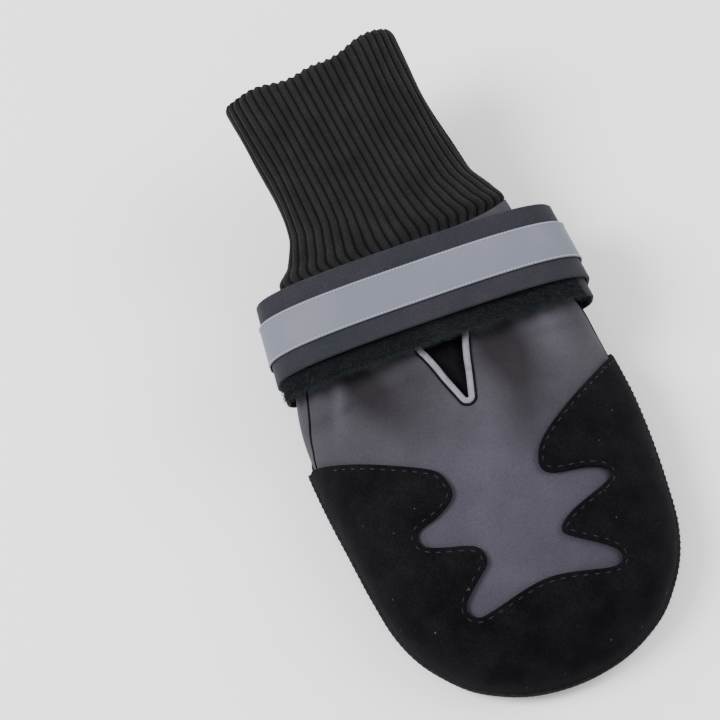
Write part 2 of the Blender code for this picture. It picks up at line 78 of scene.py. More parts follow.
STRAP_START = SHAFT_LENGTH - STRAP_SETBACK
STRAP_BASE_LEAD = 0.0054
STRAP_LEAN = math.radians(8.0)
STRAP_SLANT = math.radians(2.7)
STRAP_HALF_LOW = 0.0474
STRAP_HALF_HIGH = 0.0447
STRAP_SHIFT = -0.0003
STRAP_FULLNESS = 3.0
STRAP_CLEARANCE = 0.0012
STRAP_BASE_THICKNESS = 0.0010
PILE_THICKNESS = 0.0008
PILE_ROOM = 0.0022
STRAP_THICKNESS = 0.0012
TAPE_THICKNESS = 0.0004
TAPE_WIDTH = 0.0118
TAPE_MARGIN = (STRAP_WIDTH - TAPE_WIDTH) / 2
TAPE_ARC = (-0.05, 0.55)
PILE_ARC = (0.05, 0.475)
GUSSET_MARGIN = 0.004
GUSSET_THICKNESS = 0.0012

# Fine forms of the picture, which the solids leave out or have coarser
RIB_COUNT = 50
RIB_HEIGHT = 0.0007
KNIT_ROWS = 1150.0
KNIT_COLUMNS = 3.0
CUFF_SLACK = 0.00016
CUFF_EDGE_WAVE = 0.0006
CUFF_RIB_WAVE = 0.0003
CUFF_TURN = 0.035
CUFF_TURN_DROP = 0.0009
COLLAR_STAND = 0.0034
COLLAR_DROP = 0.0009
CLOTH_UNEVENNESS = 0.00012
GUSSET_FOLD = 0.00025
BAND_EDGE = 0.0005
SEAM_RADIUS = 0.00042
SEAM_SINK = 0.00012
SEAM_LOW_SIDE = 0.45
SOLE_CORD_RADIUS = 0.00085
SOLE_CORD_LEAN = 0.0008
STITCH_INSET = 0.0013
TAPE_STITCH_INSET = 0.0003
FIBRE_COUNT = 16000
FIBRE_ARC = (0.048, 0.477)
FIBRE_HALF = 0.00009
# pitch, length, radius
OVERLAY_STITCH = (0.0034, 0.0017, 0.00019)
TAPE_STITCH = (0.0011, 0.0009, 0.00019)
SOLE_STITCH = (0.0019, 0.0011, 0.00018)
SHARP_ANGLE = 38

EDGE_EASE = 0.0022
OVERLAY_OUTER = GAP + OVERLAY_THICKNESS
SOLE_INNER = OVERLAY_OUTER - SOLE_THICKNESS
SOLE_END = FOOT_LENGTH / 2
FAR = 0.2

# The tables below hold shares of named sizes: along of FOOT_LENGTH, width of BALL_WIDTH, top
# of INSTEP_HEIGHT above the seam, under of what lies under the middle, flat of SOLE_FLATNESS,
# lift of HEEL_AXIS_HEIGHT above the seam, shift of COLLAR_SHIFT.
FOOT_SECTIONS = (
    # along, width, top, under, flat, lift, shift
    (0.000, 0.000, 0.000, 0.00, 0.0, 0.00, 0.00),
    (0.006, 0.160, 0.150, 0.52, 0.0, 0.00, 0.00),
    (0.024, 0.318, 0.290, 0.80, 0.0, 0.00, 0.00),
    (0.055, 0.460, 0.415, 0.89, 0.3, 0.00, 0.00),
    (0.100, 0.602, 0.530, 0.95, 0.7, 0.00, 0.00),
    (0.160, 0.716, 0.640, 1.00, 1.0, 0.00, 0.00),
    (0.240, 0.826, 0.745, 1.00, 1.0, 0.00, 0.00),
    (0.340, 0.903, 0.850, 1.00, 1.0, 0.00, 0.00),
    (0.480, 0.948, 0.945, 1.00, 1.0, 0.00, 0.00),
    (0.640, 0.979, 1.000, 1.00, 1.0, 0.02, 0.00),
    (0.820, 1.000, 1.000, 1.00, 1.0, 0.10, 0.20),
    (1.000, 0.990, 0.950, 1.00, 0.8, 0.42, 0.60),
)
# Of SHAFT_LENGTH, COLLAR_WIDTH, half COLLAR_DEPTH twice and COLLAR_SHIFT
SHAFT_SECTIONS = (
    # along, width, rise, sink, shift
    (0.17, 1.220, 1.340, 1.060, 0.76),
    (0.36, 1.165, 1.180, 0.990, 0.78),
    (0.58, 1.100, 1.060, 0.960, 0.84),
    (0.80, 1.045, 1.000, 0.960, 0.92),
    (1.00, 1.000, 1.000, 1.000, 1.00),
)
FOOT_FULLNESS = 2.35
SHAFT_FULLNESS = 2.30
SOLE_EDGE_FULLNESS = 2.6
SOLE_FLATNESS = 0.28
# Of CUFF_LENGTH, CUFF_WIDTH, CUFF_DEPTH and the way from COLLAR_SHIFT to CUFF_SHIFT
CUFF_SECTIONS = (
    # along, width, depth, shift
    (0.05, 1.320, 1.150, -0.45),
    (0.12, 1.210, 1.120, -0.95),
    (0.25, 1.060, 1.030, -0.70),
    (0.45, 1.008, 0.970, -0.30),
    (0.70, 0.992, 0.980, 0.60),
    (1.00, 1.015, 1.080, 1.20),
)
CUFF_FULLNESS = 2.6
# Of half BALL_WIDTH and FOOT_LENGTH
CUTOUT_EDGE = (
    # across, along
    (1.080, 0.450), (0.820, 0.340), (0.370, 0.190), (0.240, 0.105), (0.280, 0.055),
    (0.520, 0.035), (0.625, 0.010), (0.585, -0.025), (0.310, -0.080), (0.205, -0.120),
    (0.255, -0.150), (0.465, -0.220), (0.495, -0.260), (0.400, -0.275), (0.020, -0.240),
    (-0.345, -0.265), (-0.460, -0.265), (-0.500, -0.220), (-0.345, -0.155), (-0.290, -0.135),
    (-0.275, -0.110), (-0.315, -0.070), (-0.480, -0.035), (-0.575, -0.010), (-0.620, 0.020),
    (-0.600, 0.050), (-0.445, 0.065), (-0.320, 0.105), (-0.335, 0.175), (-0.395, 0.210),
    (-0.615, 0.285), (-0.965, 0.400), (-1.080, 0.450),
)
# Of THROAT_DEPTH and half THROAT_WIDTH
THROAT_EDGE = (
    # along, across
    (0.000, 0.000),
    (0.010, 0.095),
    (0.036, 0.140),
    (0.086, 0.208),
    (0.170, 0.320),
    (0.249, 0.410),
    (0.337, 0.537),
    (0.392, 0.625),
    (0.580, 0.770),
    (0.800, 0.890),
    (1.000, 1.000),
)

# Soft troughs (deep below 0) and ridges of the grey upper, seen from above. across: share
# of half BALL_WIDTH; along: share of FOOT_LENGTH; deep: share of UPPER_WALL; the width
# ahead of each line: share of BALL_WIDTH.
CREASES = (
    (0.072, (
        # across, along, deep
        (-0.60, 0.72, -0.90), (-0.57, 0.60, -1.05), (-0.52, 0.52, -0.95),
        (-0.45, 0.44, -0.70), (-0.40, 0.36, -0.40), (-0.33, 0.26, 0.00),
    )),
    (0.022, (
        (-0.71, 0.72, 0.50), (-0.70, 0.60, 0.60), (-0.73, 0.54, 0.50),
        (-0.78, 0.48, 0.25), (-0.83, 0.41, 0.00),
    )),
    (0.080, (
        (0.27, 0.70, -1.00), (0.32, 0.57, -1.25), (0.345, 0.49, -1.15),
        (0.345, 0.41, -0.90), (0.31, 0.31, -0.65), (0.27, 0.21, -0.45),
        (0.25, 0.10, 0.00),
    )),
    (0.060, ((0.74, 0.68, 0.30), (0.68, 0.52, 0.40), (0.72, 0.40, 0.00))),
    (0.060, ((-0.26, 0.68, -0.40), (-0.24, 0.52, -0.40), (-0.20, 0.34, 0.00))),
    (0.070, ((0.12, 0.36, 0.18), (0.02, 0.16, 0.22), (-0.05, -0.05, 0.00))),
    (0.080, ((-0.86, 0.24, 0.00), (-0.74, 0.02, -0.22), (-0.80, -0.18, 0.00))),
    (0.080, ((0.90, 0.22, 0.00), (0.80, 0.00, -0.22), (0.84, -0.20, 0.00))),
)

# The side seam on the -X side. place: row of the sections; lift: degrees above the side.
SIDE_SEAM = ((10.45, 8.0), (10.7, 13.0), (10.98, 17.8), (11.93, 22.8), (12.95, 24.8), (13.5, 25.5))

# Pale specks on the suede. few: the share of cells without one.
LINT = (
    # scale, size, few, pale
    (260.0, 0.075, 0.72, 0.035),
    (150.0, 0.040, 0.70, 0.070),
    (60.0, 0.024, 0.50, 0.120),
)

LIGHT_AIM = (0, 0.03, 0.02)
LIGHTS = (
    # name, place, size, power
    ("key", (-0.75, 0.30, 0.95), 0.6, 20),
    ("fill", (0.95, 0.10, 0.80), 0.9, 12),
)

# Camera of the picture
VIEW_AZIMUTH = math.radians(-9.2)
VIEW_ELEVATION = math.radians(69.0)
VIEW_ROLL = math.radians(-13.1)
VIEW_DISTANCE = 0.8
VIEW_MIDDLE = Vector((0, 0.035, 0.015))
VIEW_SIDE = -0.0336
VIEW_RISE = 0.0191
VIEW_LENS = 133


def catmull(before, first, second, after, share):
    square = share * share
    cube = square * share
    return 0.5 * (
        2 * first
        + (second - before) * share
        + (2 * before - 5 * first + 4 * second - after) * square
        + (3 * first - before - 3 * second + after) * cube
    )


def rows_at(rows, places):
    """Smoothly blended rows at fractional row numbers."""
    last = len(rows) - 1
    index = np.clip(places.astype(int), 0, last - 1)
    share = (places - index)[:, None]
    before = rows[np.maximum(index - 1, 0)]
    after = rows[np.minimum(index + 2, last)]
    return catmull(before, rows[index], rows[index + 1], after, share)


def smooth_line(points, steps):
    rows = np.array(points, float)
    places = np.arange((len(points) - 1) * steps + 1) / steps
    return rows_at(rows, places)


def run_along(points):
    """Distance along a line of points, from its first."""
    return np.concatenate(((0,), np.cumsum(np.linalg.norm(np.diff(points, axis=0), axis=-1))))


def unit(vectors):
    return vectors / np.linalg.norm(vectors, axis=-1, keepdims=True)


def beside(line, margin):
    """A flat line moved sideways, to its right where margin is above 0."""
    ahead = np.gradient(line, axis=0)
    return line + unit(np.stack((ahead[:, 1], -ahead[:, 0]), -1)) * margin


def superellipse(angles, full):
    """Across and height on a rounded outline with half sizes of 1."""
    cosine, sine = np.cos(angles), np.sin(angles)
    power = 2 / full
    return np.sign(cosine) * np.abs(cosine) ** power, np.sign(sine) * np.abs(sine) ** power


SHAFT_BASE = np.array((0, FOOT_LENGTH / 2, HEEL_AXIS_HEIGHT))
SHAFT_ALONG = np.array((0, math.cos(SHAFT_TILT), math.sin(SHAFT_TILT)))
SHAFT_UP = np.array((0, -math.sin(SHAFT_TILT), math.cos(SHAFT_TILT)))
ACROSS = np.array((1.0, 0, 0))


def shaft_points(across, along, height):
    """Points given across, along and above the shaft's axis, as arrays."""
    parts = np.broadcast_arrays(across, along, height)
    across, along, height = (np.asarray(part, float)[..., None] for part in parts)
    return SHAFT_BASE + ACROSS * across + SHAFT_ALONG * along + SHAFT_UP * height


def body_sections():
    rows = []
    for along, width, top, under, flat, lift, shift in FOOT_SECTIONS:
        middle = SEAM_HEIGHT + lift * (HEEL_AXIS_HEIGHT - SEAM_HEIGHT)
        rows.append((
            shift * COLLAR_SHIFT, (along - 0.5) * FOOT_LENGTH, middle, 0.0,
            width * BALL_WIDTH / 2,
            SEAM_HEIGHT + top * (INSTEP_HEIGHT - SEAM_HEIGHT) - middle,
            under * (middle - OVERLAY_OUTER),
            FOOT_FULLNESS, SOLE_EDGE_FULLNESS, 1 + flat * SOLE_FLATNESS,
        ))
    for along, width, rise, sink, shift in SHAFT_SECTIONS:
        centre = shaft_points(shift * COLLAR_SHIFT, along * SHAFT_LENGTH, 0)
        rows.append((
            *centre, SHAFT_TILT, width * COLLAR_WIDTH / 2, rise * COLLAR_DEPTH / 2,
            sink * COLLAR_DEPTH / 2, SHAFT_FULLNESS, SHAFT_FULLNESS, 1.0,
        ))
    return np.array(rows)


SECTIONS = body_sections()
HEEL_PLACE = len(FOOT_SECTIONS) - 1
COLLAR_PLACE = len(SECTIONS) - 1


def ring_points(rows, angles):
    """Points of whole sections, as in the solids. Row -1 mirrors row 1 past the toe."""
    x, y, z, lean, half, rise, sink, over, under, flat = SECTIONS[np.abs(rows)].T
    side = np.where(rows < 0, -1, 1)
    cosine, sine = np.cos(angles), np.sin(angles)
    power = 2 / np.where(sine >= 0, over, under)
    across = side * half * np.sign(cosine) * np.abs(cosine) ** power
    height = np.abs(sine) ** power
    height = np.where(sine >= 0, rise * height, -sink * np.minimum(1.0, flat * height)) * side
    return np.stack((x + across, y - np.sin(lean) * height, z + np.cos(lean) * height), -1)


def spread(first, second):
    gap = np.linalg.norm(second - first, axis=-1, keepdims=True)
    return np.maximum(np.sqrt(gap), 1e-5)


def bare_skin(places, angles):
    """The upper's smooth outer surface for arrays of places and angles."""
    shape = np.broadcast(places, angles).shape
    places = np.broadcast_to(places, shape).ravel()
    angles = np.broadcast_to(angles, shape).ravel()
    index = np.clip(places.astype(int), 0, COLLAR_PLACE - 1)
    t = (places - index)[:, None]
    first, second = ring_points(index, angles), ring_points(index + 1, angles)
    before = ring_points(index - 1, angles)
    after = ring_points(np.minimum(index + 2, COLLAR_PLACE), angles)
    after = np.where((index == COLLAR_PLACE - 1)[:, None], 2 * second - first, after)
    gap0, gap1, gap2 = spread(before, first), spread(first, second), spread(second, after)
    leave = (first - before) / gap0 - (second - before) / (gap0 + gap1) + (second - first) / gap1
    reach = (second - first) / gap1 - (after - first) / (gap1 + gap2) + (after - second) / gap2
    square, cube = t * t, t * t * t
    points = (
        (2 * cube - 3 * square + 1) * first + (cube - 2 * square + t) * leave * gap1
        + (3 * square - 2 * cube) * second + (cube - square) * reach * gap1
    )
    return points.reshape(*shape, 3)


def skin_normals(places, angles):
    step, turn = 0.04, math.radians(1.0)
    along = bare_skin(np.minimum(places + step, COLLAR_PLACE), angles)
    along = along - bare_skin(np.maximum(places - step, 0), angles)
    around = bare_skin(places, angles + turn) - bare_skin(places, angles - turn)
    normal = np.cross(along, around)
    return normal / np.maximum(np.linalg.norm(normal, axis=-1, keepdims=True), 1e-12)


def in_plan(points):
    return points[..., :2]


def in_shaft(points):
    away = points - SHAFT_BASE
    return np.stack((away @ ACROSS, away @ SHAFT_ALONG), -1)


def seek_skin(targets, offset, view):
    """Points of the offset skin that lie over the targets in a flat view, with their
    outward directions."""
    targets = np.asarray(targets, float)
    rows = np.linspace(0.1, COLLAR_PLACE, 240)[:, None]
    turns = np.linspace(0.01, math.pi - 0.01, 160)[None, :]
    flat = view(bare_skin(rows, turns))
    near = [int(np.argmin(((flat - target) ** 2).sum(-1))) for target in targets]
    row, turn = np.unravel_index(near, flat.shape[:2])
    places, angles = rows[row, 0], turns[0, turn]
    step = 0.002
    for _ in range(14):
        here = view(skin(places, angles, offset))
        ahead = (view(skin(places - step, angles, offset)) - here) / -step
        around = (view(skin(places, angles + step, offset)) - here) / step
        miss = targets - here
        area = ahead[:, 0] * around[:, 1] - ahead[:, 1] * around[:, 0]
        area = np.where(np.abs(area) < 1e-12, 1e-12, area)
        move = (miss[:, 0] * around[:, 1] - miss[:, 1] * around[:, 0]) / area
        roll = (ahead[:, 0] * miss[:, 1] - ahead[:, 1] * miss[:, 0]) / area
        places = np.clip(places + np.clip(move, -0.3, 0.3), 0.02, COLLAR_PLACE)
        angles = np.clip(angles + np.clip(roll, -0.1, 0.1), 0.004, math.pi - 0.004)
    return skin(places, angles, offset), skin_normals(places, angles)


def crease_field(x, y):
    """How far the cloth sinks (-) or stands proud, as a share of its wall, from above."""
    total = np.zeros(x.shape)
    for wide, rows in CREASES:
        line = smooth_line(rows, 5)
        line[:, :2] *= (BALL_WIDTH / 2, FOOT_LENGTH)
        nearest = np.full(x.shape, 1e9)
        depth = np.zeros(x.shape)
        for first, second in zip(line[:-1], line[1:]):
            run = second[:2] - first[:2]
            share = ((x - first[0]) * run[0] + (y - first[1]) * run[1]) / (run @ run)
            share = np.clip(share, 0, 1)
            away = np.hypot(x - first[0] - share * run[0], y - first[1] - share * run[1])
            closer = away < nearest
            nearest = np.where(closer, away, nearest)
            depth = np.where(closer, first[2] + share * (second[2] - first[2]), depth)
        total += depth * np.exp(-((nearest / (wide * BALL_WIDTH)) ** 2))
    return total


def crease_depth(points, normals):
    x, y = points[..., 0], points[..., 1]
    rough = np.sin(x * 150 + y * 100) * np.sin(x * 90 - y * 130 + 1.3)
    sink = crease_field(x, y) * UPPER_WALL + CLOTH_UNEVENNESS * rough
    return sink * np.clip(normals[..., 2] * 1.6, 0, 1)


def skin(places, angles, offset):
    normals = skin_normals(places, angles)
    points = bare_skin(places, angles)
    inner = SOLE_INNER - GAP
    if offset < inner:
        down = (SEAM_HEIGHT - points[..., 2]) / (SEAM_HEIGHT - SOLE_THICKNESS)
        share = np.clip(down, 0, 1) * np.clip(HEEL_PLACE - places, 0, 1)
        offset = offset + share * (inner - offset)
    offset = offset + crease_depth(points, normals)
    return points + normals * np.asarray(offset)[..., None]


def grid_faces(rows, columns, closed=True, flip=False, start=0):
    """Quads of a grid, numbered row by row."""
    faces = []
    last = columns if closed else columns - 1
    for row in range(rows - 1):
        for step in range(last):
            after = (step + 1) % columns
            quad = (
                start + (row + 1) * columns + step, start + (row + 1) * columns + after,
                start + row * columns + after, start + row * columns + step,
            )
            faces.append(tuple(reversed(quad)) if flip else quad)
    return faces


def make_mesh(name, points, faces, finish=None, uvs=None, sharp=SHARP_ANGLE):
    mesh = bpy.data.meshes.new(name)
    mesh.from_pydata([tuple(p) for p in points], [], faces)
    if uvs is not None:
        layer = mesh.uv_layers.new(name="UVMap")
        corners = np.zeros(len(mesh.loops), int)
        mesh.loops.foreach_get("vertex_index", corners)
        layer.data.foreach_set("uv", np.asarray(uvs, float)[corners].ravel())
    mesh.validate()
    mesh.shade_smooth()
    if sharp:
        mesh.set_sharp_from_angle(angle=math.radians(sharp))
    made = bpy.data.objects.new(name, mesh)
    bpy.context.scene.collection.objects.link(made)
    if finish:
        mesh.materials.append(finish)
    return made


def pocket(name, places, sides, outer, inner, finish):
    """A wall between two offsets of the skin, closed at the toe."""
    angles = 2 * math.pi * (np.arange(sides) + 0.5) / sides
    rows, columns = np.array(places)[:, None], angles[None, :]
    outside = skin(rows, columns, outer).reshape(-1, 3)
    inside = skin(rows, columns, inner).reshape(-1, 3)
    pole = SECTIONS[0][:3]
    poles = [pole - (0, outer, 0), pole - (0, inner, 0)]
    count = len(places)
    back = 1 + count * sides
    points = np.concatenate(([poles[0]], outside, [poles[1]], inside))
    faces = grid_faces(count, sides, start=1)
    faces += grid_faces(count, sides, flip=True, start=back + 1)
    rim = 1 + (count - 1) * sides
    for step in range(sides):
        after = (step + 1) % sides
        faces.append((0, 1 + step, 1 + after))
        faces.append((back, back + 1 + after, back + 1 + step))
        faces.append((back + rim + step, back + rim + after, rim + after, rim + step))
    run = run_along(outside.reshape(count, sides, 3)[:, sides // 4])
    u = np.broadcast_to((angles * BALL_WIDTH / 2)[None, :], (count, sides)).ravel()
    v = np.broadcast_to(run[:, None], (count, sides)).ravel()
    flat = np.concatenate(([[0, 0]], np.stack((u, v), -1)))
    return make_mesh(name, points, faces, finish, np.concatenate((flat, flat)))


def in_place(across, along, height):
    return across, along, height


def make_box(name, low, high):
    outline = [(low[0], low[1]), (high[0], low[1]), (high[0], high[1]), (low[0], high[1])]
    return make_prism(name, outline, in_place, low[2], high[2])


def make_prism(name, outline, place, low, high):
    count = len(outline)
    points = [place(a, b, low) for a, b in outline] + [place(a, b, high) for a, b in outline]
    faces = [tuple(reversed(range(count))), tuple(range(count, 2 * count))]
    faces += [
        (step, (step + 1) % count, count + (step + 1) % count, count + step)
        for step in range(count)
    ]
    return make_mesh(name, points, faces, sharp=0)


def carve(made, cutters, operation="DIFFERENCE"):
    """Applies the cuts to the mesh and removes the cutters."""
    for cutter in cutters:
        change = made.modifiers.new(cutter.name, "BOOLEAN")
        change.operation = operation
        change.object = cutter
        change.solver = "EXACT"
    bpy.context.view_layer.update()
    shaped = made.evaluated_get(bpy.context.evaluated_depsgraph_get())
    mesh = bpy.data.meshes.new_from_object(shaped)
    made.modifiers.clear()
    old = made.data
    made.data = mesh
    bpy.data.meshes.remove(old)
    for cutter in cutters:
        bpy.data.objects.remove(cutter)
    mesh.shade_smooth()
    mesh.set_sharp_from_angle(angle=math.radians(SHARP_ANGLE))
    return made


def vertex_spots(mesh):
    spots = np.zeros(len(mesh.vertices) * 3)
    mesh.vertices.foreach_get("co", spots)
    return spots.reshape(-1, 3)


def raise_collar(made):
    """The cloth's top edge stands a little higher on the +X side, beside the cuff."""
    mesh = made.data
    spots = vertex_spots(mesh)
    flat = in_shaft(spots)
    side = np.clip((flat[:, 0] - COLLAR_SHIFT) / (COLLAR_WIDTH / 2), 0, 1)
    near = np.clip((flat[:, 1] - 0.6 * SHAFT_LENGTH) / (0.4 * SHAFT_LENGTH), 0, 1)
    spots += ((COLLAR_STAND * side ** 5 - COLLAR_DROP) * near ** 2)[:, None] * SHAFT_ALONG
    mesh.vertices.foreach_set("co", spots.ravel())
    mesh.update()
    return made


def mark_creases(made):
    """Keeps the crease depth with the mesh, for the cloth's shading."""
    spots = vertex_spots(made.data)
    layer = made.data.attributes.new("crease", "FLOAT", "POINT")
    layer.data.foreach_set("value", crease_field(spots[:, 0], spots[:, 1]))
    return made


def throat_shift(along):
    return COLLAR_SHIFT * np.clip(along / SHAFT_LENGTH, 0.0, 1.0) ** 3


def throat_line(margin, steps=6):
    """The notch's +X edge, moved outwards by a margin, from its tip."""
    tip = SHAFT_LENGTH - THROAT_DEPTH
    rows = [(share * THROAT_WIDTH / 2, tip + along * THROAT_DEPTH) for along, share in THROAT_EDGE]
    line = smooth_line(rows, steps)
    widened = beside(line, margin)
    widened[0] = (0, line[0][1] - margin)
    return widened


def throat_outline(margin, end):
    right = [point for point in throat_line(margin) if point[1] < end]
    right.append(np.array((right[-1][0], end)))
    left = [np.array((-x, y)) for x, y in reversed(right[1:])]
    return [(x + throat_shift(y), y) for x, y in right + left]


def cutout_edge(steps):
    """The edge of the overlay's cut-out in plan, with its bends eased over EDGE_EASE."""
    line = smooth_line(CUTOUT_EDGE, steps) * (BALL_WIDTH / 2, FOOT_LENGTH)
    run = run_along(line)
    even = np.linspace(0, run[-1], len(line))
    reach = max(1, round(EDGE_EASE / even[1] / 2))
    width = 2 * reach + 1
    eased = []
    for column in line.T:
        values = np.interp(even, run, column)
        padded = np.pad(values, reach, "reflect", reflect_type="odd")
        eased.append(np.convolve(padded, np.full(width, 1 / width), "valid"))
    return np.stack(eased, -1)


def nodes_of(name, roughness, sheen=0.0, sheen_tint=(1, 1, 1), specular=0.3):
    """A new material with its shader, and a function that adds a linked node."""
    made = bpy.data.materials.new(name)
    made.use_nodes = True
    tree = made.node_tree
    shader = tree.nodes["Principled BSDF"]
    shader.inputs["Roughness"].default_value = roughness
    shader.inputs["Specular IOR Level"].default_value = specular
    shader.inputs["Sheen Weight"].default_value = sheen
    shader.inputs["Sheen Roughness"].default_value = 0.45
    shader.inputs["Sheen Tint"].default_value = (*sheen_tint, 1)

    def add(kind, settings=None, **inputs):
        node = tree.nodes.new("ShaderNode" + kind)
        for key, value in (settings or {}).items():
            setattr(node, key, value)
        for key, value in inputs.items():
            socket = node.inputs[int(key[1:])] if key[0] == "_" else node.inputs[key.replace("_", " ")]
            if isinstance(value, bpy.types.NodeSocket):
                tree.links.new(value, socket)
            else:
                socket.default_value = value
        return node

    return made, shader, add


def grey(value):
    return (value, value, value)


def paint(shader, colour):
    shader.id_data.links.new(colour, shader.inputs["Base Color"])


def noise(add, scale, detail, vector, rough=0.55):
    node = add("TexNoise", Vector=vector, Scale=scale, Detail=detail, Roughness=rough)
    return node.outputs["Fac"]


def bands(add, direction, vector, scale, distortion, **inputs):
    """The soft stripes of a weave."""
    node = add("TexWave", {"wave_type": "BANDS", "bands_direction": direction},
               Vector=vector, Scale=scale, Distortion=distortion, **inputs)
    return node.outputs["Fac"]


def ramp(add, factor, *stops):
    node = add("ValToRGB", _0=factor)
    items = node.color_ramp.elements
    while len(items) < len(stops):
        items.new(0.5)
    for item, (place, colour) in zip(items, stops):
        item.position = place
        item.color = (*colour, 1)
    return node.outputs["Color"]


def maths(add, operation, first, second=0.0):
    return add("Math", {"operation": operation}, _0=first, _1=second).outputs[0]


def blend(add, factor, first, second, mode="MULTIPLY"):
    node = add("Mix", {"data_type": "RGBA", "blend_type": mode})
    tree = node.id_data
    for socket, value in ((node.inputs[0], factor), (node.inputs[6], first), (node.inputs[7], second)):
        if isinstance(value, bpy.types.NodeSocket):
            tree.links.new(value, socket)
        else:
            socket.default_value = (*value, 1) if isinstance(value, tuple) else value
    return node.outputs[2]


def bump(add, shader, height, strength, distance, after=None):
    inputs = {"Height": height, "Strength": strength, "Distance": distance}
    if after is not None:
        inputs["Normal"] = after
    out = add("Bump", **inputs).outputs["Normal"]
    shader.id_data.links.new(out, shader.inputs["Normal"])
    return out


def cloth_finish():
    """Grey soft-shell: a fine flat weave with a soft sheen, with painted shade down in its folds and a
    painted highlight on their ridges.
    """
    made, shader, add = nodes_of("grey_softshell", 0.9, 0.08, (0.8, 0.8, 0.9), 0.12)
    spot = add("TexCoord").outputs["Object"]
    cloudy = noise(add, 60, 3, spot)
    grain = noise(add, 1900, 2, spot, 0.6)
    base = ramp(add, cloudy, (0.3, (0.041, 0.037, 0.050)), (0.7, (0.054, 0.050, 0.066)))
    flecks = ramp(add, grain, (0.30, (0.70, 0.70, 0.72)), (0.62, (1.08, 1.08, 1.10)))
    colour = blend(add, 0.6, base, flecks)
    # Towards the heel, under the strap, the cloth turns greyer and a little darker: partly its own tone,
    # partly painted shade of the strap.
    back = add("SeparateXYZ", _0=spot).outputs[1]
    behind = maths(add, "MULTIPLY", back, 12.0)
    heel_tone_and_strap_shade = ramp(add, behind, (0.05, grey(1.0)), (0.45, (0.93, 0.95, 0.86)))
    colour = blend(add, 1.0, colour, heel_tone_and_strap_shade)
    # Painted shade in the troughs of the creases and a painted highlight on their ridges, from the
    # crease depth kept on the mesh.
    fold = add("Attribute", {"attribute_name": "crease"}).outputs["Fac"]
    depth = maths(add, "MULTIPLY_ADD", fold, 0.56)
    depth.node.inputs[2].default_value = 0.58
    shade = ramp(add, depth, (0.12, (0.40, 0.38, 0.38)), (0.58, grey(0.95)), (0.80, grey(1.3)))
    colour = blend(add, 1.0, colour, shade)
    paint(shader, colour)
    uv = add("UVMap").outputs["UV"]
    warp, weft = (
        bands(add, way, uv, 420.0, 1.5, Detail=1.0, Detail_Scale=2.0) for way in ("X", "Y")
    )
    weave = maths(add, "MULTIPLY", warp, weft)
    first = bump(add, shader, weave, 0.25, 0.0002)
    bump(add, shader, grain, 0.3, 0.0002, first)
    return made


def suede_finish():
    """Black napped suede with brushed patches and a few pale lint specks."""
    made, shader, add = nodes_of("black_suede", 1.0, 0.02, (0.75, 0.75, 0.9), 0.03)
    spot = add("TexCoord").outputs["Object"]
    cloudy = noise(add, 95, 4, spot, 0.6)
    nap = noise(add, 1500, 3, spot, 0.65)
    base = ramp(add, cloudy, (0.35, (0.0032, 0.0030, 0.0040)), (0.72, (0.0070, 0.0064, 0.0074)))
    fibre = ramp(add, nap, (0.35, (0.5, 0.5, 0.53)), (0.75, (1.6, 1.6, 1.65)))
    colour = blend(add, 0.7, base, fibre)
    for scale, size, few, pale in LINT:
        cells = add("TexVoronoi", {"feature": "F1"}, Vector=spot, Scale=scale, Randomness=1.0)
        near = maths(add, "LESS_THAN", cells.outputs["Distance"], size)
        pick = add("SeparateColor", _0=cells.outputs["Color"]).outputs[0]
        speck = maths(add, "MULTIPLY", near, maths(add, "GREATER_THAN", pick, few))
        colour = blend(add, speck, colour, (pale, pale * 0.96, pale * 0.9), "MIX")
    paint(shader, colour)
    first = bump(add, shader, cloudy, 0.3, 0.0006)
    bump(add, shader, nap, 0.7, 0.0003, first)
    return made


def knit_finish():
    """Black rib knit: small stitches run along each rib, with painted shade down in the grooves."""
    made, shader, add = nodes_of("black_rib_knit", 1.0, 0.12, grey(0.8), 0.04)
    spot = add("TexCoord").outputs["Object"]
    uv = add("UVMap").outputs["UV"]
    parts = add("SeparateXYZ", _0=uv)
    phase = maths(add, "FRACT", parts.outputs[0])
    off = maths(add, "ABSOLUTE", maths(add, "SUBTRACT", phase, 0.5))
    column = maths(add, "FRACT", maths(add, "MULTIPLY", parts.outputs[0], KNIT_COLUMNS))
    lean = maths(add, "ABSOLUTE", maths(add, "SUBTRACT", column, 0.5))
    climb = maths(add, "MULTIPLY", parts.outputs[1], KNIT_ROWS)
    row = maths(add, "FRACT", maths(add, "SUBTRACT", climb, lean))
    loop = maths(add, "SINE", maths(add, "MULTIPLY", row, math.pi))
    side = maths(add, "SINE", maths(add, "MULTIPLY", column, math.pi))
    stitch = maths(add, "MULTIPLY", loop, side)
    cloudy = noise(add, 140, 4, spot, 0.6)
    fuzz = noise(add, 2600, 2, spot, 0.6)
    base = ramp(add, cloudy, (0.3, (0.0105, 0.0105, 0.0108)), (0.72, (0.0160, 0.0160, 0.0163)))
    # Painted shade down in the grooves between the ribs.
    groove = ramp(add, off, (0.24, grey(1.0)), (0.45, grey(0.30)))
    colour = blend(add, 1.0, base, groove)
    shade = ramp(add, stitch, (0.0, grey(0.75)), (0.7, grey(1.15)))
    colour = blend(add, 0.6, colour, shade)
    hairs = ramp(add, fuzz, (0.35, grey(0.65)), (0.65, grey(1.4)))
    colour = blend(add, 0.6, colour, hairs)
    paint(shader, colour)
    first = bump(add, shader, stitch, 0.35, 0.0003)
    bump(add, shader, fuzz, 0.7, 0.0003, first)
    return made


